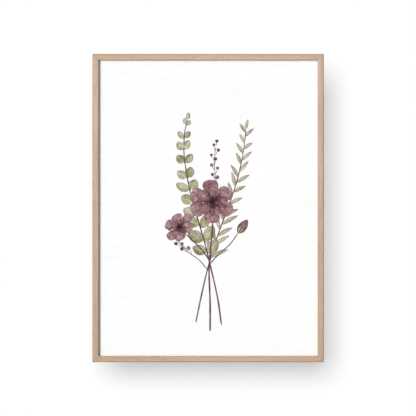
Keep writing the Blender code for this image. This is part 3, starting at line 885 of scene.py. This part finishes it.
def berry_spray(points, count):
    """A thin stem that forks into short stalks, each with a round berry and the dark dot of its crown."""
    line = paint_stem(points, 1.9, 1.0, LAYER["berry stem"])
    for n, share in enumerate(np.linspace(0.42, 1.0, count)):
        point, heading = along_line(line, share)
        side = 0 if n == count - 1 else (1 if n % 2 else -1)
        turn = side * rng.uniform(0.5, 0.85)
        reach = rng.uniform(9, 15) * (1.1 - 0.35 * share)
        stalk = arc_line(point, heading + turn, reach, -0.5 * side, np.linspace(0, 1, 5))
        paint_stem(stalk, 1.05, 0.85, LAYER["berry stem"])
        radius = rng.uniform(2.9, 4.1) * (1.12 - 0.3 * share)
        end, beyond = along_line(stalk, 1.0)
        middle = end + (radius - 0.4) * toward(beyond)
        layer = LAYER["berry"] + n % 2
        load = rng.uniform(0.75, 1.1)
        paint_dot("berry", middle, radius, layer, load, rng.uniform(0.1, 0.6), shine=0.62)
        paint_dot("berry", middle + radius * 0.72 * toward(beyond), 0.6, layer + 1, 1.5, 0.9)


def paint_design():
    """A loose posy: two leafy branches that cross low on the sheet, two open flowers, a bud, and berries.
    Then each kind of mark becomes one piece, in paint of its own."""
    narrow_leaf_branch()
    berry_spray(LOW_SPRAY, count=9)
    berry_spray(HIGH_SPRAY, count=11)
    round_leaf_branch()
    for points, wide, narrow in ((MIDDLE_STEM, 3.6, 2.6), (LEFT_STEM, 2.4, 2.0), (RIGHT_STEM, 2.2, 1.8)):
        paint_stem(points, wide, narrow, LAYER["flower stem"], tint=0.7)
    paint_blossom(centre=(8, 12), radius=46, lean=1.2, amount=0.92, load=1.0)
    paint_blossom(centre=(-58, -38), radius=32, lean=2.3, amount=0.8, load=0.9)
    paint_bud(foot=RIGHT_STEM[-1], heading=0.95, length=33)
    for name, kind, paint, light, deep, veins in (
        ("painted_stems", "stem", "stem paint", (158, 122, 114), (118, 74, 82), None),
        ("painted_round_leaves", "sage", "sage paint", (176, 178, 136), (142, 120, 100), "leaf"),
        ("painted_narrow_leaves", "olive", "olive paint", (189, 188, 152), (152, 122, 108), "leaf"),
        ("painted_petals", "petal", "plum paint", (138, 92, 97), (88, 44, 52), "petal"),
        ("painted_hearts", "heart", "dark plum paint", (88, 54, 62), (54, 30, 40), None),
        ("painted_berries", "berry", "berry paint", (134, 87, 92), (88, 46, 55), None),
    ):
        lay_marks(name, kind, make_paint(paint, linear(*light), linear(*deep), veins))


# Wall, floor, light and camera

FLOOR_Z = -1.75
FLOOR_REACH = 16
WALL_Y = 0.4 * MM
WALL_REACH = 9
WALL_TOP = 4
BOARD_WIDTH = 0.448
BOARD_HEIGHT = 0.597
BOARD_TO_WALL = 0.15
SHADOW_RIGHT = 0.0218  # how far the shadow's middle lies right of the picture's
SHADOW_DOWN = 0.0305  # and how far below it
WALL_GLOW = 0.319
FLOOR_GLOW = 0.2
WORLD_LIGHT = 0.30
WORLD_SEEN = 0.9  # what the camera sees past the wall and the floor
KEY_STRENGTH = 2.81
WALL_STRENGTH = 3.04
BACK_STRENGTH = 2.1
KEY_TOWARD = (-0.48, -1, 0.14)
WALL_TOWARD = (-SHADOW_RIGHT, -BOARD_TO_WALL, SHADOW_DOWN)  # from the shadow to the board
BACK_TOWARD = (0.55, 1, 0.6)
KEY_SPREAD = 25
WALL_SPREAD = 31
BACK_SPREAD = 40
LENS_MM = 120.0
SENSOR_MM = 36.0
IMAGE_PIXELS = 416
FRAME_PIXELS = 231.6  # the frame's width in the photograph
FRAME_ASIDE = 0.1  # how many pixels the frame stands right of the photo's middle
PIXEL = 2 * HALF_WIDTH / FRAME_PIXELS  # metres of the front face to a pixel
FACE_TO_CAMERA = IMAGE_PIXELS * PIXEL * LENS_MM / SENSOR_MM


def make_wall_paint():
    """White wall paint seen from in front, with a little light of its own as in a bright studio. From
    behind, and for every ray but the camera's, the wall is open, so that the back can be lit and seen."""
    material, w = new_material("white wall")
    cloud = w.noise(w.node("TexCoord").outputs["Object"], 3, detail=3)
    tone = w.mix(cloud, linear(196.5, 196.5, 196.5), linear(197.5, 197.5, 197.5))
    glow = w.shader("Emission", color=WHITE, strength=WALL_GLOW)
    lit = w.in_order(w.node("AddShader"), w.shader("BsdfDiffuse", color=tone), glow)
    front = w.minus(1.0, w.node("NewGeometry").outputs["Backfacing"])
    seen = w.times(w.node("LightPath").outputs["Is Camera Ray"], front)
    w.surface(w.blend(seen, w.shader("BsdfTransparent"), lit))
    return material


def make_board_paint():
    """A dark, matt board, which is never seen."""
    material, w, shader, place = new_finish("dark board", roughness=0.9)
    w.feed(shader["Base Color"], w.mix(w.noise(place, 12), linear(40, 40, 40), linear(52, 52, 52)))
    return material


def make_floor_paint():
    """A pale, matt studio floor, with a little light of its own."""
    material, w, shader, place = new_finish("pale floor", roughness=0.8, specular=0.2)
    cloud = w.noise(place, 1.2, detail=3)
    w.feed(shader["Base Color"], w.mix(cloud, linear(238, 238, 238), linear(243, 243, 243)))
    shader["Emission Color"].default_value = WHITE
    shader["Emission Strength"].default_value = FLOOR_GLOW
    return material


def add_sheet(name, corners, material):
    """One flat rectangle of the set, which isn't part of the object."""
    sheet = add_object(name, corners, [(0, 1, 2, 3)], material)
    return sheet


def upright(reach, y, low, high):
    """The corners of an upright rectangle that faces the camera."""
    return [(-reach, y, low), (reach, y, low), (reach, y, high), (-reach, y, high)]


def hide_from(made, *rays):
    """Leaves an object or a lamp out of these kinds of ray."""
    for kind in rays:
        setattr(made, "visible_" + kind, False)


def build_set():
    """A wall just behind the object, a floor below it, and an unseen board that shades the wall."""
    wall = add_sheet("wall", upright(WALL_REACH, WALL_Y, FLOOR_Z, WALL_TOP), make_wall_paint())
    a, z = FLOOR_REACH, FLOOR_Z
    floor = add_sheet("floor", [(-a, -a, z), (a, -a, z), (a, a, z), (-a, a, z)], make_floor_paint())
    low, high = CENTRE_Z - BOARD_HEIGHT / 2, CENTRE_Z + BOARD_HEIGHT / 2
    corners = upright(BOARD_WIDTH / 2, -BOARD_TO_WALL, low, high)
    board = add_sheet("shadow board", corners, make_board_paint())
    hide_from(board, "camera", "diffuse", "glossy", "transmission")
    hide_from(floor, "diffuse", "glossy", "shadow")
    return wall, board


def add_sun(name, toward_lamp, spread, strength):
    """Even soft light that comes from that direction, spread over that many degrees."""
    light = bpy.data.lights.new(name, "SUN")
    light.angle = math.radians(spread)
    light.energy = strength
    lamp = bpy.data.objects.new(name, light)
    lamp.rotation_euler = Vector(toward_lamp).to_track_quat("Z", "Y").to_euler()
    scene.collection.objects.link(lamp)
    return lamp


def link_lamp(lamp, state, wall, board):
    """With the state INCLUDE the lamp lights the wall alone, shaded by the board alone. With EXCLUDE it
    lights all but the wall, past the board."""
    for role, sheet in (("receiver", wall), ("blocker", board)):
        linked = bpy.data.collections.new(lamp.name + " " + role)
        linked.objects.link(sheet)
        setattr(lamp.light_linking, role + "_collection", linked)
        linked.collection_objects[0].light_linking.link_state = state


def hang_lamps(wall, board):
    """A soft lamp from the left, and one behind for the back. The wall has a lamp of its own, which the
    board shades, so that the shadow on the wall is as soft and as far aside as in the photograph."""
    key = add_sun("key", KEY_TOWARD, KEY_SPREAD, KEY_STRENGTH)
    link_lamp(key, "EXCLUDE", wall, board)
    hide_from(key, "glossy")  # or the pane would mirror it as a white disc
    wall_lamp = add_sun("wall lamp", WALL_TOWARD, WALL_SPREAD, WALL_STRENGTH)
    link_lamp(wall_lamp, "INCLUDE", wall, board)
    add_sun("back", BACK_TOWARD, BACK_SPREAD, BACK_STRENGTH)


def make_surroundings():
    """Even white light all round, which the camera sees brighter than it lights."""
    world = bpy.data.worlds.new("studio")
    world.use_nodes = True
    world.node_tree.nodes.clear()
    w = Wiring(world.node_tree)
    even = w.shader("Background", color=WHITE, strength=WORLD_LIGHT)
    seen = w.shader("Background", color=WHITE, strength=WORLD_SEEN)
    w.surface(w.blend(w.node("LightPath").outputs["Is Camera Ray"], even, seen), "OutputWorld")
    scene.world = world


def place_camera():
    """A camera straight in front, as far off as makes the frame as wide in the image as in the photograph.
    The image is shown in plain screen colours."""
    camera = bpy.data.cameras.new("camera")
    camera.lens = LENS_MM
    camera.sensor_width = SENSOR_MM
    camera.clip_start = 0.05
    camera.clip_end = 60
    stand = bpy.data.objects.new("camera", camera)
    stand.location = (-FRAME_ASIDE * PIXEL, FRONT_Y - FACE_TO_CAMERA, CENTRE_Z)
    stand.rotation_euler = (math.pi / 2, 0, 0)
    scene.collection.objects.link(stand)
    scene.camera = stand
    scene.view_settings.view_transform = "Standard"
    scene.view_settings.look = "None"


dress_nodes()
paint_design()
hang_lamps(*build_set())
make_surroundings()
place_camera()

bpy.context.view_layer.update()
